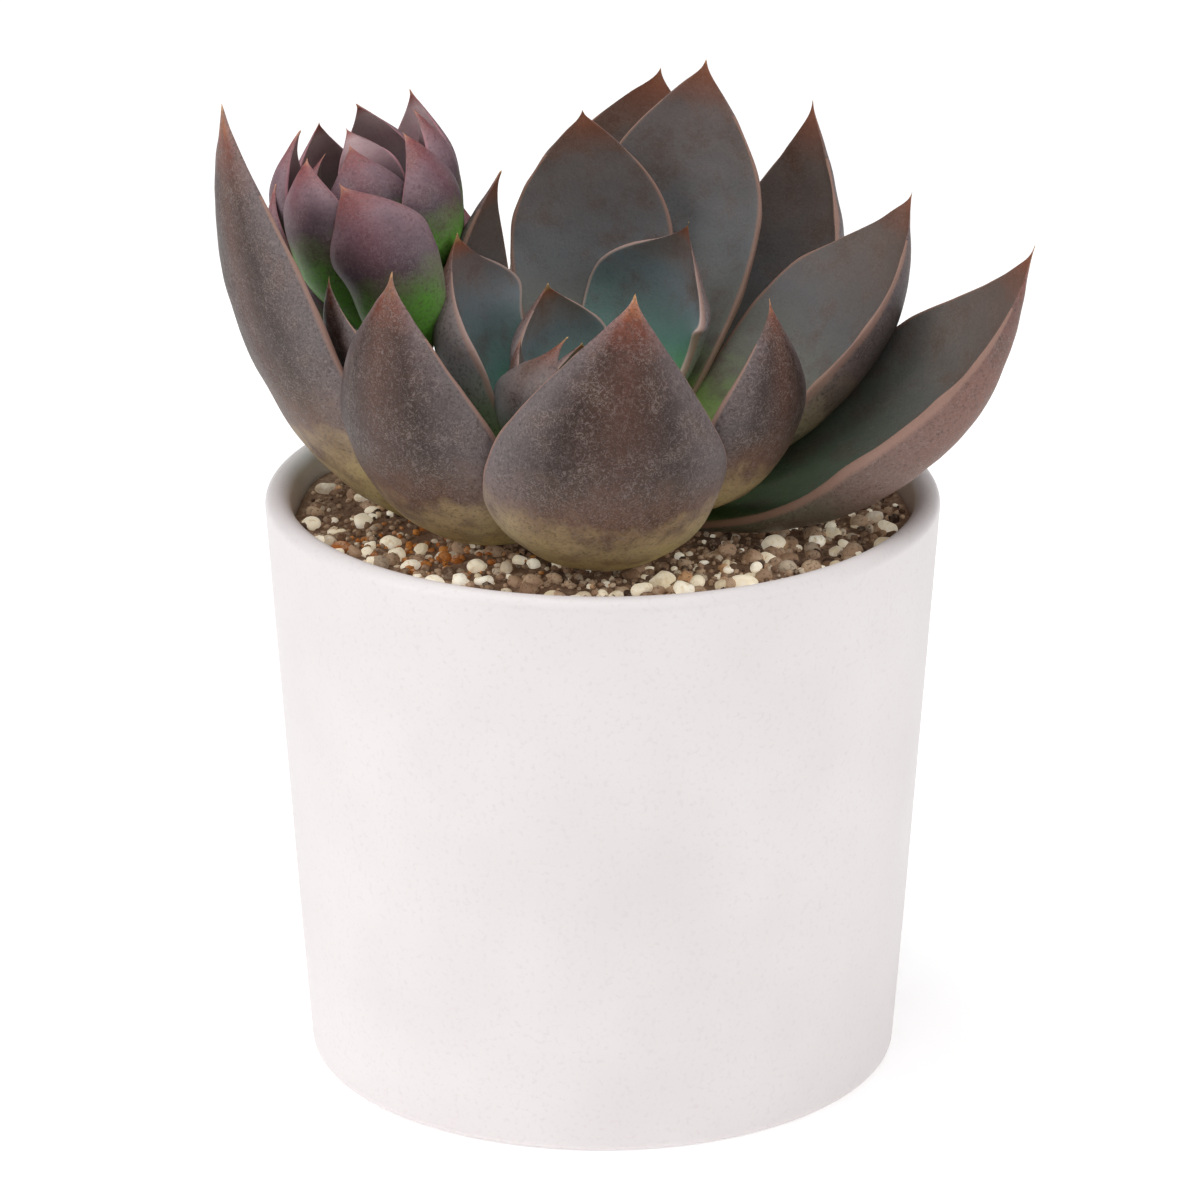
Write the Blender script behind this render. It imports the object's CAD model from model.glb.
"""Potted succulent: a loose rosette and its closed offset, in gritty soil, in a white ceramic pot.

Places and sizes are in millimetres in the tables and turn to metres where a mesh is made. The frame
is the CAD model's: +Z up, the origin on the table at the pot's centre, -Y the front of the plant.
"""

from __future__ import annotations

import logging
import math
from dataclasses import dataclass, field
from enum import Enum

import bpy
import numpy as np
from mathutils import Matrix, Vector

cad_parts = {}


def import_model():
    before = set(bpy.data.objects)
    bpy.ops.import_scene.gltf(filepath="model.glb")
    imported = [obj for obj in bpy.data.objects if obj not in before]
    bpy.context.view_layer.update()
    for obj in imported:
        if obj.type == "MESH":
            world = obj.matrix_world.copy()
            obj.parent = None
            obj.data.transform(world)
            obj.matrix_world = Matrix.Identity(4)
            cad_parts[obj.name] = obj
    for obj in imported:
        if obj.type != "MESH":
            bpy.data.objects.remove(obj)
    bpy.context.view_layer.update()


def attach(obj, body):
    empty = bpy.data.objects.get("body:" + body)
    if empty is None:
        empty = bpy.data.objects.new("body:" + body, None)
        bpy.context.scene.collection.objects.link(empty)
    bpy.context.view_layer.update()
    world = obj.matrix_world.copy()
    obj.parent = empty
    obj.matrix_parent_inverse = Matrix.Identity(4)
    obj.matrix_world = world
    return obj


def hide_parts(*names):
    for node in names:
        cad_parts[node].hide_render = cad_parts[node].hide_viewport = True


LOG = logging.getLogger("potted_succulent")

MM = 0.001
BODY = "root"
GROWTH = "growth"  # attribute of a leaf: along it, across it, and 1 on its upper face
TINT = "tint"  # attribute of a grain: which colour it has

POT_HEIGHT = 88.0
POT_TOP_RADIUS = 50.0
POT_FOOT_RADIUS = 44.0
POT_WALL = 3.8
POT_FLOOR = 6.0
HEADSPACE = 4.5
SOIL_TOP = POT_HEIGHT - HEADSPACE
LEAF_LUMP = 7.0

COLOUR_MIX = {"data_type": "RGBA"}  # a Mix node of colours: socket 0 is the share, 6 and 7 what is mixed


def linear(colour: str) -> tuple[float, float, float, float]:
    """Turns an sRGB hex colour to linear light.

    Args:
        colour: six hex digits, such as "f4f1f0".

    Returns:
        Red, green, blue and an alpha of 1.
    """
    shares = [int(colour[i : i + 2], 16) / 255 for i in (0, 2, 4)]
    red, green, blue = (s / 12.92 if s <= 0.04045 else ((s + 0.055) / 1.055) ** 2.4 for s in shares)
    return red, green, blue, 1.0


def per_metre(size_mm: float) -> float:
    """Works out a texture's scale.

    Args:
        size_mm: how big one cell of its pattern is.

    Returns:
        The scale.
    """
    return 1 / (size_mm * MM)


def add_node(
    tree: bpy.types.NodeTree,
    kind: str,
    settings: dict[str, object] | None = None,
    inputs: dict[str | int, object] | None = None,
    stops: tuple[tuple[float, object], ...] = (),
) -> bpy.types.Node:
    """Adds a node with its settings, its values and the links into it.

    Args:
        tree: the material's tree.
        kind: the node's type, without "ShaderNode".
        settings: its properties.
        inputs: for each socket, a value, the output that feeds it, or a node whose first output does.
        stops: a ramp's places and what is at each, a hex colour or a grey from 0 to 1.

    Returns:
        The node.
    """
    node = tree.nodes.new("ShaderNode" + kind)
    for name, value in (settings or {}).items():
        setattr(node, name, value)
    for socket, value in (inputs or {}).items():
        value = value.outputs[0] if isinstance(value, bpy.types.Node) else value
        if isinstance(value, bpy.types.NodeSocket):
            tree.links.new(value, node.inputs[socket])
        else:
            node.inputs[socket].default_value = value
    for i, (place, value) in enumerate(stops):
        elements = node.color_ramp.elements
        stop = elements[i] if i < 2 else elements.new(place)
        stop.position = place
        stop.color = linear(value) if isinstance(value, str) else (value, value, value, 1.0)
    return node


def new_material(name: str, roughness: float, ior: float) -> tuple[bpy.types.Material, bpy.types.Node]:
    """Makes an empty material.

    Args:
        name: the finish's name.
        roughness: of its surface.
        ior: its index of refraction.

    Returns:
        The material and its shader.
    """
    material = bpy.data.materials.new(name)
    material.use_nodes = True
    shader = material.node_tree.nodes["Principled BSDF"]
    shader.inputs["Roughness"].default_value = roughness
    shader.inputs["IOR"].default_value = ior
    shader.inputs["Metallic"].default_value = 0.0
    return material, shader


def deselect() -> None:
    """Clears the selection, since an operator acts on all that is selected."""
    bpy.ops.object.select_all(action="DESELECT")


def take(piece: bpy.types.Object) -> None:
    """Makes a piece the only selected and active one.

    Args:
        piece: the piece that the next operator is to act on.
    """
    deselect()
    piece.select_set(True)
    bpy.context.view_layer.objects.active = piece


def finish_piece(piece: bpy.types.Object, name: str, material: bpy.types.Material) -> bpy.types.Object:
    """Applies a piece's modifiers and place, and dresses it.

    Args:
        piece: the modelled object.
        name: its final name.
        material: its finish.

    Returns:
        The same object, smooth shaded, at the origin.
    """
    take(piece)
    for modifier in list(piece.modifiers):
        bpy.ops.object.modifier_apply(modifier=modifier.name)
    bpy.ops.object.transform_apply(location=True, rotation=True, scale=True)
    bpy.ops.object.shade_smooth()
    piece.name = piece.data.name = name
    piece.data.materials.clear()
    piece.data.materials.append(material)
    return piece


def settle(piece: bpy.types.Object, slot: str, *nodes: str) -> None:
    """Puts a piece on the frame.

    Args:
        piece: the finished piece.
        slot: the record's material slot.
        nodes: the CAD nodes that it stands for.
    """
    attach(piece, BODY)
    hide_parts(*nodes)
    LOG.info("%s: %d faces", piece.name, len(piece.data.polygons))


def unit(vectors: np.ndarray) -> np.ndarray:
    """Brings vectors to length 1.

    Args:
        vectors: one to a row.

    Returns:
        The unit vectors.
    """
    return vectors / np.linalg.norm(vectors, axis=-1, keepdims=True)


def wall_radius(height: float) -> float:
    """The pot's outer radius: its side is one straight taper.

    Args:
        height: over the table.

    Returns:
        The radius.
    """
    return POT_FOOT_RADIUS + (POT_TOP_RADIUS - POT_FOOT_RADIUS) * height / POT_HEIGHT


# ---- finishes ----


@dataclass(frozen=True)
class SatinBisque:
    """Slip-cast white ceramic under a satin glaze: even, faintly rosy, with a soft wide highlight."""

    body: str = "e7e1e1"
    cloud: str = "e1dada"
    fleck: str = "dad1d1"
    roughness: float = 0.42

    def material(self) -> bpy.types.Material:
        """Builds the finish."""
        made, shader = new_material("satin_glazed_ceramic", self.roughness, 1.5)
        tree = made.node_tree
        place = add_node(tree, "TexCoord").outputs["Object"]
        clouds = add_node(tree, "TexNoise", inputs={"Vector": place, "Scale": per_metre(28), "Detail": 3.0})
        flecks = add_node(
            tree, "TexNoise", inputs={"Vector": place, "Scale": per_metre(0.7), "Detail": 2.0}
        )
        cloudy = add_node(
            tree, "ValToRGB", inputs={0: clouds}, stops=((0.35, self.body), (0.7, self.cloud))
        )
        sparse = add_node(tree, "ValToRGB", inputs={0: flecks}, stops=((0.55, 0.0), (0.75, 0.5)))
        colour = add_node(tree, "Mix", COLOUR_MIX, {0: sparse, 6: cloudy, 7: linear(self.fleck)})
        tree.links.new(colour.outputs[2], shader.inputs["Base Color"])
        skin = add_node(tree, "Bump", inputs={"Height": flecks, "Strength": 0.12, "Distance": 0.05 * MM})
        tree.links.new(skin.outputs[0], shader.inputs["Normal"])
        return made


@dataclass(frozen=True)
class LeafSkin:
    """A succulent leaf's waxy skin: its flush of colour along the leaf, a pale bloom and fine grain.

    A stop is a share of the leaf's length and the colour there.
    """

    name: str
    under: tuple[tuple[float, str], ...]
    upper: tuple[tuple[float, str], ...]
    streak: str = "6b4234"
    streak_share: float = 0.4
    bloom: str = "998f92"
    bloom_share: float = 0.42
    rim: str = "a07c6e"
    upper_rim: str = "94705f"
    mottle: str = "5a463a"
    mottle_share: float = 0.45
    grain: str = "a39490"
    grain_share: float = 0.32
    shade: str = "2a1c17"
    roughness: float = 0.5

    def material(self) -> bpy.types.Material:
        """Builds the finish."""
        made, shader = new_material(self.name, self.roughness, 1.42)
        tree = made.node_tree
        place = add_node(tree, "TexCoord").outputs["Object"]
        growth = add_node(tree, "Attribute", {"attribute_name": GROWTH})
        part = add_node(tree, "SeparateXYZ", inputs={0: growth.outputs["Vector"]})
        side = add_node(tree, "Math", {"operation": "ABSOLUTE"}, {0: part.outputs["Y"]})

        # Blotches of about 5 mm, pores of 0.5 mm and wandering ridges 0.4 mm wide.
        blotch = add_node(
            tree,
            "TexNoise",
            inputs={"Vector": place, "Scale": per_metre(5.0), "Detail": 4.0, "Roughness": 0.6},
        )
        grain = add_node(
            tree,
            "TexNoise",
            inputs={"Vector": place, "Scale": per_metre(0.5), "Detail": 2.0, "Roughness": 0.6},
        )
        maze = add_node(
            tree,
            "TexNoise",
            inputs={"Vector": place, "Scale": per_metre(0.8), "Detail": 1.5, "Distortion": 1.4},
        )

        shift = add_node(tree, "MapRange", inputs={0: blotch, 1: 0.25, 2: 0.75, 3: -0.06, 4: 0.06})
        along = add_node(tree, "Math", {"operation": "ADD"}, {0: part.outputs["X"], 1: shift})
        # The point keeps its own colours, so the blotches don't reach it.
        near_tip = add_node(tree, "MapRange", inputs={0: part.outputs["X"], 1: 0.86, 2: 0.93})
        along = add_node(tree, "Mix", {"data_type": "FLOAT"}, {0: near_tip, 2: along, 3: part.outputs["X"]})
        under = add_node(tree, "ValToRGB", inputs={0: along}, stops=self.under)
        upper = add_node(tree, "ValToRGB", inputs={0: along}, stops=self.upper)

        # A russet streak runs down the middle of the back from the tip.
        wander = add_node(tree, "Math", {"operation": "ADD"}, {0: side, 1: shift})
        middle = add_node(
            tree, "MapRange", inputs={0: wander, 1: 0.42, 2: 0.0, 3: 0.0, 4: self.streak_share}
        )
        high = add_node(tree, "MapRange", inputs={0: along, 1: 0.4, 2: 0.8})
        streak = add_node(tree, "Math", {"operation": "MULTIPLY"}, {0: middle, 1: high})
        streaked = add_node(tree, "Mix", COLOUR_MIX, {0: streak, 6: under, 7: linear(self.streak)})
        # The bloom is thickest towards the margins, where nothing rubs it off.
        flank = add_node(tree, "MapRange", inputs={0: wander, 1: 0.45, 2: 1.0, 3: 0.0, 4: self.bloom_share})
        bloomed = add_node(
            tree, "Mix", COLOUR_MIX, {0: flank, 6: streaked.outputs[2], 7: linear(self.bloom)}
        )
        faces = add_node(tree, "Mix", COLOUR_MIX, {0: part.outputs["Z"], 6: bloomed.outputs[2], 7: upper})
        # The colour is mottled with brown in patches a few millimetres wide.
        mottle = add_node(
            tree, "MapRange", inputs={0: blotch, 1: 0.5, 2: 0.68, 3: 0.0, 4: self.mottle_share}
        )
        faces = add_node(tree, "Mix", COLOUR_MIX, {0: mottle, 6: faces.outputs[2], 7: linear(self.mottle)})
        # Fine grain: the wax wears to pale ridges on the darker skin. It is faint on the upper face.
        ridge = add_node(tree, "Math", {"operation": "SUBTRACT"}, {0: maze, 1: 0.5})
        ridge = add_node(tree, "Math", {"operation": "ABSOLUTE"}, {0: ridge})
        wear = add_node(
            tree, "MapRange", inputs={0: part.outputs["Z"], 1: 0.0, 2: 1.0, 3: self.grain_share, 4: 0.12}
        )
        worn = add_node(tree, "MapRange", inputs={0: ridge, 1: 0.055, 2: 0.012, 3: 0.0, 4: 1.0})
        patchy = add_node(tree, "MapRange", inputs={0: blotch, 1: 0.35, 2: 0.6, 3: 0.35, 4: 1.0})
        worn = add_node(tree, "Math", {"operation": "MULTIPLY"}, {0: worn, 1: wear})
        worn = add_node(tree, "Math", {"operation": "MULTIPLY"}, {0: worn, 1: patchy})
        speckled = add_node(tree, "Mix", COLOUR_MIX, {0: worn, 6: faces.outputs[2], 7: linear(self.grain)})
        pores = add_node(tree, "MapRange", inputs={0: grain, 1: 0.5, 2: 0.25, 3: 0.0, 4: 1.0})
        depth = add_node(tree, "MapRange", inputs={0: part.outputs["Z"], 1: 0.0, 2: 1.0, 3: 0.6, 4: 0.16})
        pores = add_node(tree, "Math", {"operation": "MULTIPLY"}, {0: pores, 1: depth})
        grained = add_node(
            tree, "Mix", COLOUR_MIX, {0: pores, 6: speckled.outputs[2], 7: linear(self.shade)}
        )
        # The margin is a thin cartilage line.
        edge = add_node(tree, "MapRange", inputs={0: side, 1: 0.955, 2: 0.985, 3: 0.0, 4: 0.75})
        line = add_node(
            tree, "Mix", COLOUR_MIX, {0: part.outputs["Z"], 6: linear(self.rim), 7: linear(self.upper_rim)}
        )
        body = add_node(tree, "Math", {"operation": "LESS_THAN"}, {0: part.outputs["X"], 1: 0.9})
        edge = add_node(tree, "Math", {"operation": "MULTIPLY"}, {0: edge, 1: body})
        colour = add_node(tree, "Mix", COLOUR_MIX, {0: edge, 6: grained.outputs[2], 7: line.outputs[2]})
        tree.links.new(colour.outputs[2], shader.inputs["Base Color"])

        gloss = add_node(
            tree,
            "MapRange",
            inputs={0: grain, 1: 0.3, 2: 0.7, 3: self.roughness - 0.08, 4: self.roughness + 0.12},
        )
        tree.links.new(gloss.outputs[0], shader.inputs["Roughness"])
        skin = add_node(tree, "Bump", inputs={"Height": grain, "Strength": 0.35, "Distance": 0.12 * MM})
        tree.links.new(skin.outputs[0], shader.inputs["Normal"])
        return made


OUTER = LeafSkin(
    "outer_leaf_skin",
    under=(
        (0.0, "aeb26c"), (0.25, "c2b880"), (0.41, "b09a70"), (0.53, "644a3b"), (0.66, "33241d"),
        (0.8, "33221b"), (0.9, "3f261e"), (0.955, "743a27"), (0.985, "b4714a"), (1.0, "e0b070"),
    ),
    upper=(
        (0.0, "a5d048"), (0.2, "7f9a50"), (0.38, "67685c"), (0.6, "5f5e5e"), (0.88, "66564f"),
        (0.955, "7c4e3c"), (0.99, "935a40"), (1.0, "c08a5a"),
    ),
)
SLATE = LeafSkin(
    "slate_leaf_skin",
    under=OUTER.under,
    upper=(
        (0.0, "a5d048"), (0.16, "829a54"), (0.34, "6c6d64"), (0.6, "646668"), (0.88, "6a605d"),
        (0.955, "7c4e3c"), (0.99, "935a40"), (1.0, "c08a5a"),
    ),
)
LOW = LeafSkin(
    "low_leaf_skin",
    under=(
        (0.0, "48543a"), (0.25, "585c42"), (0.42, "634c3b"), (0.55, "6b4837"), (0.75, "774b39"),
        (0.9, "6a3f30"), (0.955, "8a4530"), (1.0, "e0b070"),
    ),
    upper=(
        (0.0, "6d8c40"), (0.2, "4d6044"), (0.38, "515c4e"), (0.6, "5c5c58"), (0.88, "66564f"),
        (0.955, "7c4e3c"), (0.99, "935a40"), (1.0, "c08a5a"),
    ),
    bloom_share=0.2,
    grain_share=0.28,
)
INNER = LeafSkin(
    "inner_leaf_skin",
    under=(
        (0.0, "7fae44"), (0.25, "6a8462"), (0.5, "75787a"), (0.8, "7c6a66"), (0.92, "85503f"),
        (0.96, "a5603e"), (1.0, "e6bb78"),
    ),
    upper=(
        (0.0, "79c04a"), (0.22, "4f8858"), (0.4, "557a70"), (0.7, "6c777c"), (0.9, "7c6a66"),
        (0.96, "96583f"), (1.0, "e6bb78"),
    ),
    upper_rim="c4a89e",
    grain_share=0.3,
)
BUD = LeafSkin(
    "offset_leaf_skin",
    under=(
        (0.0, "5fb02c"), (0.42, "66a63c"), (0.54, "66784c"), (0.64, "594a52"), (0.82, "80616a"),
        (0.95, "8e4a46"), (1.0, "d39a78"),
    ),
    upper=(
        (0.0, "6fc634"), (0.3, "628f48"), (0.5, "66595e"), (0.78, "94747a"), (0.92, "c0a2a4"),
        (0.97, "94524c"), (1.0, "d39a78"),
    ),
    streak="7d3d46",
    bloom="ab9096",
    bloom_share=0.3,
    rim="b07c84",
    upper_rim="b07c84",
    grain="a9959a",
    grain_share=0.25,
    mottle_share=0.2,
    shade="54383f",
)


@dataclass(frozen=True)
class GrainFinish:
    """Loose mineral or bark grains: each grain one of a few dull colours, dusty and pitted."""

    name: str
    colours: tuple[tuple[float, str], ...]
    dust: str
    pit: str
    grain_mm: float = 0.5
    roughness: float = 0.85
    glow: float = 0.12

    def material(self) -> bpy.types.Material:
        """Builds the finish."""
        made, shader = new_material(self.name, self.roughness, 1.5)
        tree = made.node_tree
        place = add_node(tree, "TexCoord").outputs["Object"]
        tint = add_node(tree, "Attribute", {"attribute_name": TINT})
        colours = add_node(tree, "ValToRGB", inputs={0: tint.outputs["Fac"]}, stops=self.colours)
        patch = per_metre(self.grain_mm * 2.5)
        dust = add_node(
            tree, "TexNoise", inputs={"Vector": place, "Scale": patch, "Detail": 4.0, "Roughness": 0.65}
        )
        pits = add_node(
            tree, "TexNoise", inputs={"Vector": place, "Scale": per_metre(self.grain_mm), "Detail": 2.0}
        )
        dusty = add_node(tree, "MapRange", inputs={0: dust, 1: 0.5, 2: 0.7, 3: 0.0, 4: 0.5})
        pitted = add_node(tree, "MapRange", inputs={0: pits, 1: 0.45, 2: 0.28, 3: 0.0, 4: 0.7})
        pale = add_node(tree, "Mix", COLOUR_MIX, {0: dusty, 6: colours, 7: linear(self.dust)})
        colour = add_node(tree, "Mix", COLOUR_MIX, {0: pitted, 6: pale.outputs[2], 7: linear(self.pit)})
        tree.links.new(colour.outputs[2], shader.inputs["Base Color"])
        # Porous grains pass light on to each other, so the gaps between them never go black.
        tree.links.new(colour.outputs[2], shader.inputs["Emission Color"])
        shader.inputs["Emission Strength"].default_value = self.glow
        bump = add_node(tree, "Bump", inputs={"Height": pits, "Strength": 0.5, "Distance": 0.15 * MM})
        tree.links.new(bump.outputs[0], shader.inputs["Normal"])
        return made


PUMICE = GrainFinish(
    "worn_pumice",
    colours=(
        (0.0, "fff8e6"), (0.3, "f8ecd2"), (0.5, "f0e3c9"), (0.7, "dccdae"), (0.85, "ccb99c"),
        (1.0, "b8a994"),
    ),
    dust="fffdf6",
    pit="cdb894",
    grain_mm=0.7,
    glow=0.28,
)
GRIT = GrainFinish(
    "potting_grit",
    colours=(
        (0.0, "38281e"), (0.12, "5c4434"), (0.3, "886a52"), (0.48, "ac8b70"), (0.62, "c6a98c"),
        (0.76, "76563f"), (0.88, "ecdcc2"), (0.93, "c88440"), (1.0, "a86026"),
    ),
    dust="d8c2a8",
    pit="3a2a1f",
)
LOAM = GrainFinish(
    "damp_loam",
    colours=((0.0, "7d614c"), (1.0, "a08268")),
    dust="c8ac92",
    pit="3f2e22",
    grain_mm=0.6,
    glow=0.07,
)


# ---- the plant ----


@dataclass(frozen=True)
class Leaf:
    """One leaf. Its midrib runs from the stem to the tip on one bowed curve.

    Angles are in degrees and lengths in millimetres, as in the CAD model. Left is the left hand of
    someone who stands at the stem and looks out along the leaf.

    Attributes:
        azimuth: which way it points, from +X towards +Y.
        reach: the tip's distance from the rosette's axis.
        rise: the tip's height over the soil.
        width: the greatest width, before folds and shoulders.
        bow: how far its middle lies below the straight line to the tip, as a share of that line.
        base_radius: the base's distance from the axis.
        base_height: the base's height over the soil.
        roll: how far it is turned about its own length.
        cup: how far each half of its section curls up.
        sway: how far its midrib is pulled to the left.
        lead: where along the leaf the bow pulls.
        widest: where along the leaf it is widest.
        point: how soon it narrows to the tip; the more, the slimmer.
        neck: the base's width as a share of the greatest.
        thickness: before it thins towards the neck and the tip.
        fold_left: how far the left margin turns up and in.
        fold_right: the same for the right margin.
        shoulder: extra half width towards the tip, on the left, or on the right if negative.
    """

    azimuth: float
    reach: float
    rise: float
    width: float
    bow: float
    base_radius: float = 6.0
    base_height: float = 5.0
    roll: float = 0.0
    cup: float = 35.0
    sway: float = 0.0
    lead: float = 0.5
    widest: float = 0.55
    point: float = 1.45
    neck: float = 0.4
    thickness: float = 5.0
    fold_left: float = 0.0
    fold_right: float = 0.0
    shoulder: float = 0.0

    SIDES = 32
    RINGS = 44
    TIP_CROWDING = 1.25  # over 1, the rings lie closer together towards the tip
    SWELL = 1.3  # over 1, it widens late from the neck
    NEEDLE = 0.03  # the share of the length that the fine point takes
    NEEDLE_DEPTH = 0.75  # the share of the width that the point loses
    FACE_SHARE = 0.3  # of the thickness, over the middle of the leaf; the rest is the rounded back
    TIP_THINNING = 0.45
    SHOULDER_AT = 0.8
    SHOULDER_SPREAD = 0.12
    FOLD_EDGE = 0.6  # how far out across the leaf a fold begins
    FOLD_START = 0.1  # where along the leaf it begins
    FOLD_GROWTH = 0.35  # and over what share of the length it grows
    FOLD_INWARD = 0.35  # how far it leans in, as a share of its height
    RELIEF = 0.5

    def half_width(self, along: np.ndarray) -> np.ndarray:
        """Half the leaf's width: a paddle with a drawn-out point.

        Args:
            along: from 0 at the stem to 1 at the tip.

        Returns:
            The half widths.
        """
        grown = np.sin(np.pi / 2 * np.clip(along / self.widest, 0, 1)) ** self.SWELL
        low = self.neck + (1 - self.neck) * grown
        rest = np.clip((1 - along) / (1 - self.widest), 0, 1) ** self.point
        needle = 1 - self.NEEDLE_DEPTH * np.exp(-(((1 - along) / self.NEEDLE) ** 2))
        high = (1 - (1 - rest) ** 3) * needle
        return self.width / 2 * np.where(along < self.widest, low, high)

    def midrib(self) -> tuple[np.ndarray, np.ndarray, np.ndarray, np.ndarray]:
        """Works out the leaf's midrib.

        Returns:
            The three control points of its curve, and the level direction to its left.
        """
        angle = math.radians(self.azimuth)
        out = np.array([math.cos(angle), math.sin(angle), 0.0])
        across = np.array([-math.sin(angle), math.cos(angle), 0.0])
        up = np.array([0.0, 0.0, 1.0])
        start = out * self.base_radius + up * self.base_height
        tip = out * self.reach + up * self.rise
        chord = tip - start
        length = float(np.linalg.norm(chord))
        outward = np.cross(across, chord / length)
        if outward[2] > 0:
            outward = -outward
        bulge = start + chord * self.lead + outward * self.bow * 2 * length + across * self.sway
        return start, bulge, tip, across

    def surface(self, along: np.ndarray, turn: np.ndarray) -> np.ndarray:
        """Points of the leaf's skin.

        Args:
            along: from 0 at the stem to 1 at the tip.
            turn: the angle round the section, with the upper face at a quarter turn.

        Returns:
            Their places, one row each.
        """
        start, bulge, tip, across = self.midrib()
        t = along[:, None]
        centre = start * (1 - t) ** 2 + bulge * 2 * t * (1 - t) + tip * t**2
        tangent = unit((bulge - start) * (1 - t) + (tip - bulge) * t)
        side = unit(across - tangent * (tangent @ across)[:, None])
        face = -np.cross(side, tangent)
        roll = math.radians(self.roll)
        cos, sin = math.cos(roll), math.sin(roll)
        side, face = side * cos + face * sin, face * cos - side * sin
        width = self.half_width(along)
        share = width / (self.width / 2)
        thick = self.thickness * np.minimum(1.0, share * 1.1 + 0.04) * (1 - self.TIP_THINNING * along)
        cup = math.radians(self.cup) * (0.5 + 0.5 * np.sin(np.pi * np.minimum(1.0, 0.9 * along + 0.08)))
        ends = np.where((along < 1e-6) | (along > 1 - 1e-6), 0.0, 1.0)
        bend = np.cos(turn) * cup
        up = np.sin(turn)
        depth = thick * np.where(up > 0, self.FACE_SHARE, 1 - self.FACE_SHARE)
        skin = np.sign(up) * np.abs(up) ** 0.9 * depth
        out = np.cos(turn)
        near_shoulder = np.exp(-(((along - self.SHOULDER_AT) / self.SHOULDER_SPREAD) ** 2))
        width = width + abs(self.shoulder) * near_shoulder * np.clip(out * np.sign(self.shoulder), 0, 1)
        fold = np.where(out > 0, self.fold_left, self.fold_right) * share * (1 - along**6)
        fold = fold * np.clip((np.abs(out) - self.FOLD_EDGE) / (1 - self.FOLD_EDGE), 0, 1) ** 1.5
        fold = fold * np.clip((along - self.FOLD_START) / self.FOLD_GROWTH, 0, 1)
        lateral = width * np.sin(bend) / cup - skin * np.sin(bend) - np.sign(out) * fold * self.FOLD_INWARD
        lift = width * (1 - np.cos(bend)) / cup + skin * np.cos(bend) + fold
        lateral, lift = lateral * ends, lift * ends
        return centre + side * lateral[:, None] + face * lift[:, None]

    def build(self, name: str, place: Matrix, material: bpy.types.Material) -> bpy.types.Object:
        """Shapes a ball into the leaf: its rings become cross-sections, its poles the two ends.

        Args:
            name: the piece's name.
            place: from the rosette's own millimetres to metres on the plant.
            material: the leaf's skin.

        Returns:
            The leaf.
        """
        deselect()
        bpy.ops.mesh.primitive_uv_sphere_add(segments=self.SIDES, ring_count=self.RINGS, radius=1.0)
        piece = bpy.context.object
        mesh = piece.data
        ball = np.empty(len(mesh.vertices) * 3)
        mesh.vertices.foreach_get("co", ball)
        ball = ball.reshape(-1, 3)
        pole = np.arccos(np.clip(-ball[:, 2], -1, 1)) / np.pi
        pole = np.where(pole < 1e-3, 0.0, np.where(pole > 1 - 1e-3, 1.0, pole))
        along = 1 - (1 - pole) ** self.TIP_CROWDING
        turn = np.arctan2(ball[:, 1], ball[:, 0])
        points = self.surface(along, turn)
        matrix = np.array(place)
        points = points @ matrix[:3, :3].T + matrix[:3, 3]
        mesh.vertices.foreach_set("co", points.ravel())
        upper = 0.5 + 0.5 * np.clip(np.sin(turn) * 5, -1, 1)
        growth = mesh.attributes.new(GROWTH, "FLOAT_VECTOR", "POINT")
        growth.data.foreach_set("vector", np.stack([along, np.cos(turn), upper], 1).ravel())
        mesh.update()
        smooth = piece.modifiers.new("Skin", "SUBSURF")
        smooth.levels = smooth.render_levels = 1
        relief = piece.modifiers.new("Relief", "DISPLACE")
        relief.texture = relief_texture()
        relief.texture_coords = "GLOBAL"
        relief.strength = self.RELIEF * MM
        return finish_piece(piece, name, material)


def relief_texture() -> bpy.types.Texture:
    """Soft lumps, which keep a leaf from looking turned on a lathe.

    Returns:
        The texture, made once and shared by every leaf.
    """
    texture = bpy.data.textures.get("leaf_relief")
    if texture is None:
        texture = bpy.data.textures.new("leaf_relief", "CLOUDS")
        texture.noise_scale = LEAF_LUMP * MM
        texture.noise_depth = 1
    return texture


class SkinKind(Enum):
    """The skins that the plant's leaves wear."""

    OUTER = OUTER
    SLATE = SLATE
    LOW = LOW
    INNER = INNER
    BUD = BUD


SLOT_OF = {
    SkinKind.OUTER: "outer_leaf",
    SkinKind.SLATE: "outer_leaf",
    SkinKind.LOW: "outer_leaf",
    SkinKind.INNER: "inner_leaf",
    SkinKind.BUD: "offset_leaf",
}


@dataclass
class LeafCluster:
    """The leaves of one rosette, from the outermost to the heart."""

    leaves: dict[str, tuple[SkinKind, Leaf]]
    centre: tuple[float, float]
    lean: float = 0.0

    def place(self) -> Matrix:
        """Places the rosette.

        Returns:
            From its own millimetres to metres on the plant.
        """
        x, y = self.centre
        lean = Matrix.Rotation(-math.radians(self.lean), 4, "Y")
        return Matrix.Scale(MM, 4) @ Matrix.Translation((x, y, SOIL_TOP)) @ lean

    def build(self, skins: dict[SkinKind, bpy.types.Material]) -> None:
        """Builds every leaf.

        Args:
            skins: the material of each kind of skin.
        """
        place = self.place()
        for name, (kind, leaf) in self.leaves.items():
            piece = leaf.build(name + "_skin", place, skins[kind])
            settle(piece, SLOT_OF[kind], name)


ROSETTE_CENTRE = (0.0, -3.0)
OFFSET_CENTRE = (-26.0, 15.0)
OFFSET_LEAN = 12.0

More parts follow.
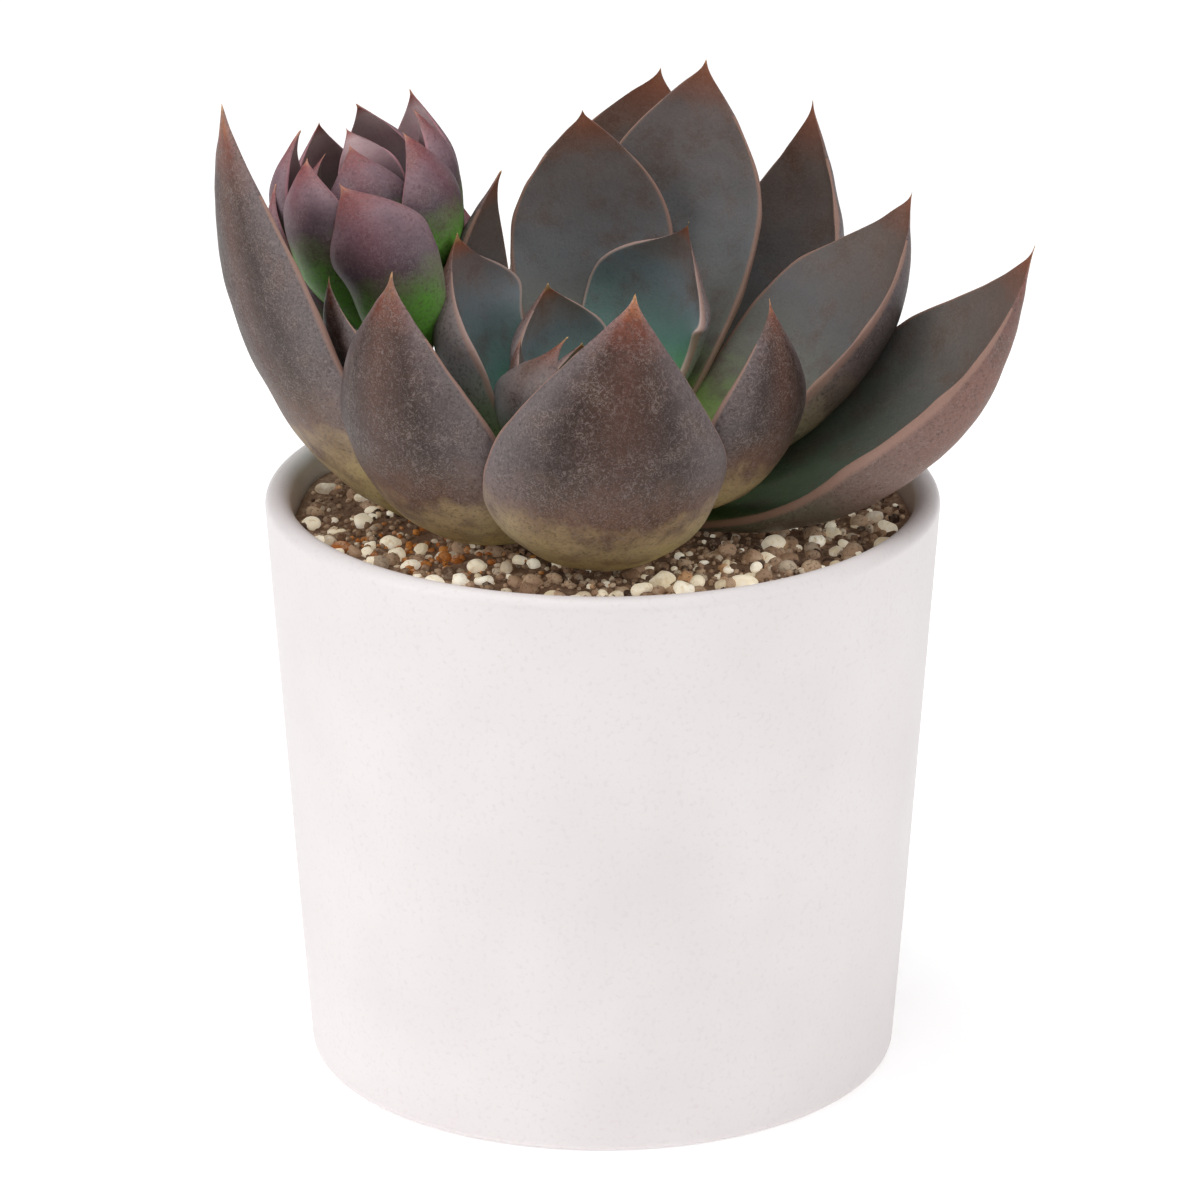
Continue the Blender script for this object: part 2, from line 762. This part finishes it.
# Each leaf's azimuth, reach, rise, width, bow, base radius and base height, then what sets it apart.
ROSETTE_LEAVES = {
    "leaf_left": (
        SkinKind.OUTER,
        Leaf(185, 55, 65.7, 30, 0.225, 7, 0, roll=24, cup=25, lead=0.3, point=1.15, shoulder=2),
    ),
    "leaf_left_small": (
        SkinKind.OUTER,
        Leaf(196, 41, 41.5, 18, 0.15, 7, 2.5, roll=10, lead=0.7, thickness=3),
    ),
    "leaf_front_left": (
        SkinKind.OUTER,
        Leaf(-142, 38, 46, 36, 0.32, 6.5, 2.5, roll=6, cup=50, sway=1, lead=0.42, point=1.3, widest=0.56),
    ),
    "leaf_front": (
        SkinKind.OUTER,
        Leaf(
            -82, 33, 45.7, 39.5, 0.38, 6, 1.8, cup=50, sway=-8, lead=0.45, point=1.25, neck=0.6, widest=0.53
        ),
    ),
    "leaf_back_low": (SkinKind.OUTER, Leaf(80, 51, 55.5, 36, 0.23, 7, 3, sway=9, point=1.15)),
    "leaf_back_right": (SkinKind.OUTER, Leaf(50, 49, 54, 28, 0.21, 7, 2, fold_right=3)),
    "leaf_right_low": (
        SkinKind.LOW,
        Leaf(-8, 63, 45.6, 37, 0.19, 7, 4, roll=19, cup=40, fold_right=4.5, shoulder=-1, thickness=6),
    ),
    "leaf_right": (SkinKind.OUTER, Leaf(18, 48, 46.6, 34, 0.15, 6.5, 6, roll=10, cup=42, fold_right=3.5)),
    "leaf_front_right": (SkinKind.OUTER, Leaf(-40, 31, 41, 22.5, 0.27, 6, 5)),
    "leaf_back_left_narrow": (SkinKind.OUTER, Leaf(138, 20, 50, 14, 0.25, 6, 4.5, cup=45, sway=2)),
    "leaf_back": (SkinKind.SLATE, Leaf(66, 38, 61, 29, 0.18, 6, 7, sway=5, widest=0.6, point=1.3)),
    "leaf_back_left": (SkinKind.SLATE, Leaf(96, 29, 55, 26, 0.22, 5.5, 9, sway=-2.5, widest=0.6, point=1.2)),
    "leaf_inner_left": (SkinKind.INNER, Leaf(158, 23, 42, 26, 0.22, 5, 8, cup=60, fold_left=2, shoulder=-5)),
    "leaf_inner_right": (
        SkinKind.INNER,
        Leaf(48, 19, 42, 26.5, 0.24, 4.5, 10.5, cup=44, sway=13, lead=0.6, fold_right=1, point=1.9),
    ),
    "leaf_inner_back": (SkinKind.INNER, Leaf(132, 12, 34, 21, 0.28, 4, 11.5, cup=55, sway=-4)),
    "leaf_heart_back": (SkinKind.INNER, Leaf(120, 6, 26, 14, 0.30, 3, 13, cup=55, thickness=3)),
    "leaf_heart_front": (
        SkinKind.INNER,
        Leaf(-140, 6.5, 30, 24, 0.40, 4, 10, cup=60, sway=-4, point=2.0, widest=0.5),
    ),
    "leaf_inner_small": (SkinKind.INNER, Leaf(170, 12, 28, 8, 0.22, 4.5, 10.5, cup=50, thickness=2.5)),
}

OFFSET_LEAVES = {
    "offset_leaf_left_base": Leaf(200, 9.5, 41.5, 9, 0.2, 4.2, 20, cup=50, thickness=3, widest=0.7),
    "offset_leaf_left_low": Leaf(186, 12, 50.5, 9, 0.25, 4.6, 30, cup=60, thickness=3),
    "offset_leaf_right_low": Leaf(5, 13.8, 41.5, 11, 0.35, 4.6, 30, cup=50, thickness=3),
    "offset_leaf_left": Leaf(
        220, 8, 54.5, 15, 0.2, 3.5, 25, cup=60, sway=3, lead=0.65, widest=0.62, thickness=4
    ),
    "offset_leaf_front": Leaf(
        -100, 11, 51.5, 18, 0.27, 4.2, 18, cup=65, sway=12, lead=0.62, widest=0.68, thickness=4
    ),
    "offset_leaf_right": Leaf(10, 10, 57, 16, 0.2, 4.2, 30, cup=60, thickness=4),
    "offset_leaf_back_right": Leaf(60, 18, 56, 15, 0.22, 4.2, 28, cup=60, thickness=3.4),
    "offset_leaf_back_left": Leaf(120, 9, 56, 14, 0.28, 4.2, 30, cup=60, thickness=3.4),
    "offset_leaf_mid_left": Leaf(168, 7, 57, 13, 0.30, 3.4, 32, cup=60, thickness=3),
    "offset_leaf_mid_right": Leaf(-30, 9.5, 55.5, 15, 0.28, 3.4, 31, cup=60, thickness=4),
    "offset_leaf_mid_back": Leaf(70, 5, 58.4, 15, 0.24, 2.8, 33, cup=60, sway=-2, thickness=3),
    "offset_leaf_bud_back": Leaf(100, 2, 56, 12, 0.22, 2.2, 34, cup=60, sway=-3, thickness=2.5),
    "offset_leaf_bud_left": Leaf(170, 4, 53, 8, 0.28, 2.8, 34, cup=60, thickness=2.5),
    "offset_leaf_bud_front": Leaf(-88, 3, 54.8, 16, 0.30, 2.8, 33, cup=60, sway=2, thickness=3),
}


@dataclass(frozen=True)
class StemSkin:
    """A young succulent stem: smooth green skin that turns corky at the soil."""

    green: str = "5d8a2e"
    cork: str = "6b5a3c"

    def material(self) -> bpy.types.Material:
        """Builds the finish."""
        made, shader = new_material("green_stem_skin", 0.5, 1.42)
        tree = made.node_tree
        place = add_node(tree, "TexCoord").outputs["Object"]
        height = add_node(tree, "SeparateXYZ", inputs={0: place})
        patches = add_node(
            tree, "TexNoise", inputs={"Vector": place, "Scale": per_metre(2.5), "Detail": 4.0}
        )
        uneven = add_node(tree, "MapRange", inputs={0: patches, 1: 0.2, 2: 0.8, 3: -4 * MM, 4: 4 * MM})
        level = add_node(tree, "Math", {"operation": "ADD"}, {0: height.outputs["Z"], 1: uneven})
        risen = add_node(
            tree, "MapRange", inputs={0: level, 1: (SOIL_TOP + 3) * MM, 2: (SOIL_TOP + 14) * MM}
        )
        colour = add_node(tree, "Mix", COLOUR_MIX, {0: risen, 6: linear(self.cork), 7: linear(self.green)})
        tree.links.new(colour.outputs[2], shader.inputs["Base Color"])
        bump = add_node(tree, "Bump", inputs={"Height": patches, "Strength": 0.3, "Distance": 0.3 * MM})
        tree.links.new(bump.outputs[0], shader.inputs["Normal"])
        return made


# Each step's place across and front to back, its height over the soil and the stem's radius there.
STEM_ROUTES = {
    "stem": [(0, -3, 0.3, 5.4), (0, -3, 3.3, 5.4), (0, -3, 6.3, 4.6), (0, -3, 9.3, 3.6), (0, -3, 12.5, 1.6)],
    "offset_stem": [
        (-23, 15, 0.35, 2.6), (-23, 15, 2.5, 2.6), (-25.2, 15, 11, 2.6), (-30.57, 15, 21.5, 2.6),
        (-32.2, 15, 29.3, 2.3), (-33.07, 15, 33.2, 1.3),
    ],
}


@dataclass
class Stem:
    """A stem: a round section carried along its route, and rounded off at the top."""

    name: str
    route: list[tuple[float, float, float, float]]
    sides: int = 20

    def build(self, material: bpy.types.Material) -> None:
        """Extrudes a disc along the route, ring by ring.

        Args:
            material: the stem's skin.
        """
        x, y, low, radius = self.route[0]
        deselect()
        bpy.ops.mesh.primitive_circle_add(
            vertices=self.sides,
            radius=radius * MM,
            fill_type="NGON",
            location=(x * MM, y * MM, (SOIL_TOP + low) * MM),
        )
        piece = bpy.context.object
        bpy.ops.object.mode_set(mode="EDIT")
        bpy.ops.mesh.select_all(action="SELECT")
        before = self.route[0]
        for step in self.route[1:]:
            move = [(step[i] - before[i]) * MM for i in range(3)]
            bpy.ops.mesh.extrude_region_move(TRANSFORM_OT_translate={"value": move})
            bpy.ops.transform.resize(value=(step[3] / before[3],) * 3)
            before = step
        bpy.ops.mesh.select_all(action="SELECT")
        bpy.ops.mesh.normals_make_consistent(inside=False)
        bpy.ops.object.mode_set(mode="OBJECT")
        smooth = piece.modifiers.new("Round", "SUBSURF")
        smooth.levels = smooth.render_levels = 2
        settle(finish_piece(piece, self.name + "_skin", material), "stem_skin", self.name)


# ---- the pot and what is in it ----


@dataclass
class Pot:
    """The tapered pot, spun from its wall's section."""

    lip_steps: int = 14
    foot_rounding: float = 1.6
    cove: float = 5.0
    hub: float = 20.0  # the floor is drawn in from here in one step
    round_steps: int = 6
    side_heights: tuple[float, ...] = (66.0, 44.0, 22.0)
    spin_steps: int = 160

    def arc(
        self, centre: tuple[float, float], radius: float, start: float, end: float, steps: int
    ) -> list[tuple[float, float]]:
        """Points on an arc in the section's plane.

        Args:
            centre: its centre, from the axis and from the table.
            radius: its radius.
            start: its first angle in degrees.
            end: its last angle.
            steps: how many steps it takes.

        Returns:
            The points.
        """
        angles = [math.radians(start + (end - start) * i / steps) for i in range(steps + 1)]
        return [(centre[0] + radius * math.cos(a), centre[1] + radius * math.sin(a)) for a in angles]

    def section(self) -> list[tuple[float, float]]:
        """The wall's outline, from the inner floor round the rim to the underside.

        Returns:
            Each point's distance from the axis and its height.
        """
        lip = POT_WALL / 2
        lip_centre = (wall_radius(POT_HEIGHT - lip) - lip, POT_HEIGHT - lip)
        cove_centre = (wall_radius(POT_FLOOR + self.cove) - POT_WALL - self.cove, POT_FLOOR + self.cove)
        foot_centre = (POT_FOOT_RADIUS - self.foot_rounding, self.foot_rounding)
        inside = [(self.hub, POT_FLOOR), *self.arc(cove_centre, self.cove, -90, 0, self.round_steps)]
        rim = self.arc(lip_centre, lip, 180, 0, self.lip_steps)
        foot = self.arc(foot_centre, self.foot_rounding, 0, -90, self.round_steps)
        side = [(wall_radius(height), height) for height in self.side_heights]
        return [*inside, *rim, *side, *foot, (self.hub, 0.0)]

    def build(self, material: bpy.types.Material) -> None:
        """Draws the section point by point and spins it once round.

        Args:
            material: the glaze.
        """
        section = self.section()
        deselect()
        bpy.ops.mesh.primitive_plane_add(size=1 * MM, location=(0, 0, POT_FLOOR * MM))
        piece = bpy.context.object
        bpy.ops.object.transform_apply(location=True, rotation=False, scale=False)
        bpy.ops.object.mode_set(mode="EDIT")
        bpy.ops.mesh.select_mode(type="VERT")
        bpy.ops.mesh.select_all(action="SELECT")
        bpy.ops.mesh.merge(type="CENTER")
        before = (0.0, POT_FLOOR)
        for radius, height in [*section, (0.0, 0.0)]:
            step = ((radius - before[0]) * MM, 0.0, (height - before[1]) * MM)
            bpy.ops.mesh.extrude_region_move(TRANSFORM_OT_translate={"value": step})
            before = (radius, height)
        bpy.ops.mesh.select_all(action="SELECT")
        bpy.ops.mesh.spin(
            steps=self.spin_steps, angle=2 * math.pi, center=(0, 0, 0), axis=(0, 0, 1), dupli=False
        )
        bpy.ops.mesh.select_all(action="SELECT")
        bpy.ops.mesh.remove_doubles(threshold=0.01 * MM)
        bpy.ops.mesh.normals_make_consistent(inside=False)
        bpy.ops.object.mode_set(mode="OBJECT")
        settle(finish_piece(piece, "glazed_pot", material), "pot_ceramic", "pot")


def bed_height(x: np.ndarray, y: np.ndarray) -> np.ndarray:
    """The soil's uneven surface, over its level.

    Args:
        x: places across, in millimetres.
        y: places front to back.

    Returns:
        Heights in millimetres.
    """
    waves = 0.45 * np.sin(x / 5.1 + 0.7) * np.cos(y / 6.3) + 0.3 * np.sin(x / 2.9 + y / 3.7)
    return waves - 0.4


@dataclass
class SoilBed:
    """The soil: a plug that fills the pot, with a crumbly top."""

    rings: int = 30
    sides: int = 120
    gap: float = 0.3
    hub: float = 1.0
    chamfer: float = 5.5

    def build(self, material: bpy.types.Material) -> None:
        """Draws the top in from its edge, ring by ring, and drops a skirt down to the pot's floor.

        Args:
            material: the loam.
        """
        top = wall_radius(SOIL_TOP) - POT_WALL - self.gap
        deselect()
        bpy.ops.mesh.primitive_circle_add(
            vertices=self.sides, radius=top * MM, fill_type="NGON", location=(0, 0, SOIL_TOP * MM)
        )
        piece = bpy.context.object
        bpy.ops.object.transform_apply(location=True, rotation=False, scale=False)
        bpy.ops.object.mode_set(mode="EDIT")
        bpy.ops.mesh.select_mode(type="FACE")
        bpy.ops.mesh.select_all(action="SELECT")
        for _ in range(self.rings):
            bpy.ops.mesh.inset(thickness=(top - self.hub) / self.rings * MM)
        bpy.ops.mesh.poke()
        bpy.ops.mesh.select_mode(type="EDGE")
        bpy.ops.mesh.select_all(action="DESELECT")
        bpy.ops.mesh.select_non_manifold()
        low = POT_FLOOR + self.gap + self.chamfer
        low_radius = wall_radius(low) - POT_WALL - self.gap
        bpy.ops.mesh.extrude_region_move(TRANSFORM_OT_translate={"value": (0, 0, (low - SOIL_TOP) * MM)})
        bpy.ops.transform.resize(value=(low_radius / top, low_radius / top, 1))
        bpy.ops.mesh.extrude_region_move(TRANSFORM_OT_translate={"value": (0, 0, -self.chamfer * MM)})
        bpy.ops.transform.resize(value=(1 - self.chamfer / low_radius, 1 - self.chamfer / low_radius, 1))
        bpy.ops.mesh.edge_face_add()
        bpy.ops.mesh.select_all(action="SELECT")
        bpy.ops.mesh.normals_make_consistent(inside=False)
        bpy.ops.object.mode_set(mode="OBJECT")
        mesh = piece.data
        points = np.empty(len(mesh.vertices) * 3)
        mesh.vertices.foreach_get("co", points)
        points = points.reshape(-1, 3)
        on_top = points[:, 2] > (SOIL_TOP - 0.1) * MM
        lift = bed_height(points[:, 0] / MM, points[:, 1] / MM) * MM
        points[:, 2] += np.where(on_top, lift, 0.0)
        mesh.vertices.foreach_set("co", points.ravel())
        mesh.update()
        settle(finish_piece(piece, "soil_bed", material), "gritty_soil", "soil")


class StoneKind(Enum):
    """The stones on the soil, by the place of their colour in the pumice's ramp."""

    WHITE = 0.02
    CREAM = 0.3
    PALE = 0.15
    OLIVE = 0.68
    TAN = 0.8
    GREY = 0.97


PLANED_AT = (0.3, 0.42)  # how far from the middle a face is planed, where the ball's radius is 0.5
STONE_LENGTH = 1.08
STONE_BREADTH = (0.72, 0.98)
STONE_TILT = 0.35


def pebble_points(ball: np.ndarray, random: np.random.Generator, flats: int, flatness: float) -> np.ndarray:
    """Wears a ball to a stone: it is squashed, planed on a few faces and turned.

    Args:
        ball: points of a unit ball.
        random: the draw.
        flats: how many faces are planed.
        flatness: the thickness as a share of the length.

    Returns:
        The stone's points, about 1 across.
    """
    points = ball * 0.5
    for _ in range(flats):
        normal = random.normal(size=3)
        normal /= np.linalg.norm(normal)
        over = np.maximum(points @ normal - random.uniform(*PLANED_AT), 0)
        points = points - over[:, None] * normal
    points = points * np.array([STONE_LENGTH, random.uniform(*STONE_BREADTH), flatness])
    heading = Matrix.Rotation(random.uniform(0, 2 * math.pi), 3, "Z")
    tilt = Matrix.Rotation(random.uniform(-STONE_TILT, STONE_TILT), 3, "X")
    return points @ np.array(heading @ tilt).T


BED_RADIUS = 44.5
RUST_PLACE = (-28.0, -14.0)  # where an iron-rich lump has crumbled
RUST_SPREAD = 11.0
RUST_SHARE = 0.75
PLAIN_TINTS = 0.92  # the colours up to here are everywhere
RUST_TINT, RUST_TINTS = 0.93, 0.07  # where the rusty colours begin, and how far they go


@dataclass
class Scatter:
    """Many stones or grains of one finish, made from one ball and joined in one piece."""

    name: str
    seed: int
    subdivisions: int
    places: list[tuple[float, float, float, float]] = field(default_factory=list)  # x, y, size, tint
    flats: int = 4  # how many faces a grain is planed on
    sunk: float = 0.25  # the share of its size that lies in the bed
    flatness: tuple[float, float] = (0.55, 0.8)

    def strew(self, count: int, sizes: tuple[float, float], radius: float = BED_RADIUS) -> Scatter:
        """Adds grains all over the bed.

        Args:
            count: how many.
            sizes: the least and the greatest size.
            radius: how far from the pot's axis they lie.

        Returns:
            The same scatter.
        """
        random = np.random.default_rng(self.seed + 1)
        for _ in range(count):
            size = sizes[0] + (sizes[1] - sizes[0]) * random.random() ** 2
            distance = (radius - size / 2) * math.sqrt(random.random())
            angle = random.uniform(0, 2 * math.pi)
            place = (distance * math.cos(angle), distance * math.sin(angle))
            tint = random.random() * PLAIN_TINTS
            away = math.dist(place, RUST_PLACE) / RUST_SPREAD
            rusty = random.random() < RUST_SHARE * math.exp(-(away**2))
            self.places.append((*place, size, RUST_TINT + RUST_TINTS * random.random() if rusty else tint))
        return self

    def build(self, material: bpy.types.Material, slot: str, *nodes: str) -> None:
        """Copies the ball to every place, each copy worn its own way.

        Args:
            material: the stones' finish.
            slot: the record's material slot.
            nodes: the CAD nodes that they stand for.
        """
        deselect()
        bpy.ops.mesh.primitive_ico_sphere_add(subdivisions=self.subdivisions, radius=1.0)
        piece = bpy.context.object
        mesh = piece.data
        ball = np.empty(len(mesh.vertices) * 3)
        mesh.vertices.foreach_get("co", ball)
        ball = unit(ball.reshape(-1, 3))
        faces = np.array([list(face.vertices) for face in mesh.polygons])
        random = np.random.default_rng(self.seed)
        points, corners, tints = [], [], []
        for i, (x, y, size, tint) in enumerate(self.places):
            stone = pebble_points(ball, random, self.flats, random.uniform(*self.flatness)) * size
            bed = SOIL_TOP + float(bed_height(np.array(x), np.array(y)))
            points.append(stone + [x, y, bed - stone[:, 2].min() - size * self.sunk])
            corners.append(faces + i * len(ball))
            tints.append(np.full(len(ball), tint))
        joined = bpy.data.meshes.new(self.name)
        joined.from_pydata((np.concatenate(points) * MM).tolist(), [], np.concatenate(corners).tolist())
        attribute = joined.attributes.new(TINT, "FLOAT", "POINT")
        attribute.data.foreach_set("value", np.concatenate(tints))
        piece.data = joined
        bpy.data.meshes.remove(mesh)
        settle(finish_piece(piece, self.name, material), slot, *nodes)


WHITE, CREAM, PALE, OLIVE, TAN, GREY = StoneKind

CAD_PEBBLES = 13

# Each stone's place across and front to back, its size and its colour, with the CAD model's stones first.
PUMICE_STONES = [
    (-41.3, 10.5, 3.3, GREY), (-43.0, -3.9, 3.2, CREAM), (-39.9, -13.1, 2.9, GREY),
    (-35.4, -3.0, 3.8, CREAM), (-33.9, -13.6, 2.2, CREAM), (-30.8, -11.4, 3.6, CREAM),
    (-30.0, -16.6, 3.1, CREAM), (-28.0, -21.0, 3.1, PALE), (-33.2, -21.4, 2.7, CREAM),
    (-26.5, -14.5, 3.2, OLIVE), (-18.2, -23.5, 2.9, CREAM), (-17.1, -28.5, 2.8, WHITE),
    (-20.8, -29.1, 3.2, WHITE), (-24.2, -31.4, 3.8, PALE), (-26.8, -28.0, 2.0, CREAM),
    (-38.5, -17.9, 2.0, CREAM), (-36.0, 6.9, 2.0, OLIVE), (-31.4, -1.2, 1.6, WHITE),
    (24.9, -14.0, 3.6, CREAM), (24.2, -21.6, 3.8, CREAM), (20.2, -29.6, 4.2, CREAM),
    (18.5, -24.4, 2.3, PALE), (22.2, -25.0, 2.2, PALE), (11.6, -35.0, 4.3, PALE),
    (8.6, -30.8, 3.8, OLIVE), (15.7, -36.1, 3.2, CREAM), (17.0, -30.4, 2.3, TAN),
    (13.6, -30.0, 2.8, CREAM), (9.4, -39.0, 2.1, TAN), (6.3, -38.9, 2.1, TAN), (5.6, -33.6, 3.4, CREAM),
    (26.1, -30.2, 2.0, CREAM), (31.6, -22.5, 2.1, WHITE), (34.2, -21.6, 2.9, TAN),
    (34.0, -15.9, 2.6, TAN), (35.4, -12.6, 2.1, CREAM), (31.4, -12.7, 2.8, WHITE),
    (33.7, -8.6, 2.8, OLIVE), (36.9, -17.3, 2.9, CREAM), (41.2, -12.5, 3.1, TAN),
    (41.9, -6.5, 3.4, CREAM), (40.3, -2.4, 3.0, GREY), (-7.3, -35.5, 2.6, TAN),
    (-7.2, -40.3, 1.9, WHITE), (-4.1, -38.2, 3.8, CREAM), (-9.2, -38.5, 2.2, OLIVE),
    (-12.8, -38.6, 1.9, WHITE), (-14.0, -25.0, 2.4, GREY), (-10.0, 38.5, 3.4, CREAM),
    (2.0, 40.5, 2.8, PALE), (13.0, 37.0, 3.6, CREAM), (24.0, 33.0, 2.9, OLIVE),
    (33.0, 24.0, 3.3, CREAM), (39.5, 14.0, 2.6, TAN), (-22.0, 35.0, 3.0, PALE),
    (-33.5, 26.0, 3.5, CREAM), (-39.0, 19.0, 2.5, TAN), (-2.0, 31.0, 3.0, CREAM),
    (-15.0, 28.0, 2.6, GREY), (8.0, 28.0, 2.5, CREAM),
]


# ---- the studio ----


@dataclass(frozen=True)
class Softbox:
    """A square soft light that looks at the plant."""

    name: str
    place: tuple[float, float, float]
    side: float
    watts: float

    def build(self, target: Vector) -> None:
        """Hangs the light.

        Args:
            target: the point that it is turned to.
        """
        data = bpy.data.lights.new(self.name, "AREA")
        data.shape = "SQUARE"
        data.size = self.side
        data.energy = self.watts
        lamp = bpy.data.objects.new(self.name, data)
        lamp.location = self.place
        lamp.rotation_euler = (target - Vector(self.place)).to_track_quat("-Z", "Y").to_euler()
        bpy.context.scene.collection.objects.link(lamp)


@dataclass
class Studio:
    """A pale floor, soft lights and the camera."""

    floor_side: float = 8.0
    floor_glow: float = 0.35  # lit from below, like a light table
    ambient: float = 0.2
    lights: tuple[Softbox, ...] = (
        Softbox("left_softbox", (-1.4, -0.5, 0.75), 1.1, 10.0),
        Softbox("right_softbox", (1.4, -0.55, 0.7), 0.9, 6.5),
        Softbox("top_softbox", (-0.2, 0.0, 1.7), 1.4, 16.0),
        Softbox("front_softbox", (0.1, -1.2, 1.2), 1.2, 4.5),
    )
    camera_place: tuple[float, float, float] = (-0.0004, -0.9774, 0.4268)
    camera_tilt: float = 69.95
    lens_mm: float = 210.0
    sensor_mm: float = 36.0
    aim_height: float = 80.0

    def floor(self) -> None:
        """Lays the floor: seamless white paper."""
        deselect()
        bpy.ops.mesh.primitive_plane_add(size=self.floor_side, location=(0, 0, 0))
        sheet = bpy.context.object
        sheet.name = "paper_floor"
        made, shader = new_material("white_paper", 0.9, 1.45)
        tree = made.node_tree
        place = add_node(tree, "TexCoord").outputs["Object"]
        fibre = add_node(tree, "TexNoise", inputs={"Vector": place, "Scale": per_metre(3)})
        colour = add_node(tree, "ValToRGB", inputs={0: fibre}, stops=((0.4, "fafafa"), (0.6, "f8f8f8")))
        tree.links.new(colour.outputs[0], shader.inputs["Base Color"])
        tree.links.new(colour.outputs[0], shader.inputs["Emission Color"])
        shader.inputs["Emission Strength"].default_value = self.floor_glow
        sheet.data.materials.append(made)

    def build(self) -> None:
        """Sets the floor, the ambient light, the lamps and the camera."""
        self.floor()
        scene = bpy.context.scene
        world = bpy.data.worlds.new("studio")
        world.use_nodes = True
        shade = world.node_tree.nodes["Background"]
        shade.inputs["Color"].default_value = (1, 1, 1, 1)
        shade.inputs["Strength"].default_value = self.ambient
        scene.world = world
        scene.view_settings.view_transform = "Standard"
        for light in self.lights:
            light.build(Vector((0, 0, self.aim_height * MM)))
        data = bpy.data.cameras.new("camera")
        data.lens = self.lens_mm
        data.sensor_width = self.sensor_mm
        camera = bpy.data.objects.new("camera", data)
        camera.location = self.camera_place
        camera.rotation_euler = (math.radians(self.camera_tilt), 0, 0)
        scene.collection.objects.link(camera)
        scene.camera = camera


def main() -> None:
    """Builds the plant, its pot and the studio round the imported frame."""
    logging.basicConfig(level=logging.INFO, format="%(message)s")
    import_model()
    Studio().build()

    skins = {kind: kind.value.material() for kind in SkinKind}
    Pot().build(SatinBisque().material())
    SoilBed().build(LOAM.material())
    stem_skin = StemSkin().material()
    for name, route in STEM_ROUTES.items():
        Stem(name, route).build(stem_skin)
    LeafCluster(ROSETTE_LEAVES, ROSETTE_CENTRE).build(skins)
    offset = {name: (SkinKind.BUD, leaf) for name, leaf in OFFSET_LEAVES.items()}
    LeafCluster(offset, OFFSET_CENTRE, OFFSET_LEAN).build(skins)

    pumice = PUMICE.material()
    grit = GRIT.material()
    places = [(x, y, size, kind.value) for x, y, size, kind in PUMICE_STONES]
    pebbles = (f"pebble_{i:02d}" for i in range(1, CAD_PEBBLES + 1))
    stones = Scatter("pumice_stones", seed=11, subdivisions=3, places=places, flats=5, sunk=0.12)
    stones.build(pumice, "pumice", *pebbles)
    chips = Scatter("pumice_chips", seed=21, subdivisions=2)
    chips.strew(300, (1.0, 2.6)).build(pumice, "pumice")
    lumps = Scatter("grit_lumps", seed=31, subdivisions=2, flats=5, flatness=(0.6, 0.95))
    lumps.strew(420, (1.6, 3.6)).build(grit, "gritty_soil")
    sand = Scatter("grit_sand", seed=41, subdivisions=1, flats=2, flatness=(0.6, 0.95), sunk=0.1)
    sand.strew(3200, (0.7, 1.6), BED_RADIUS + 0.5).build(grit, "gritty_soil")

    bpy.context.view_layer.update()


if __name__ == "__main__":
    main()
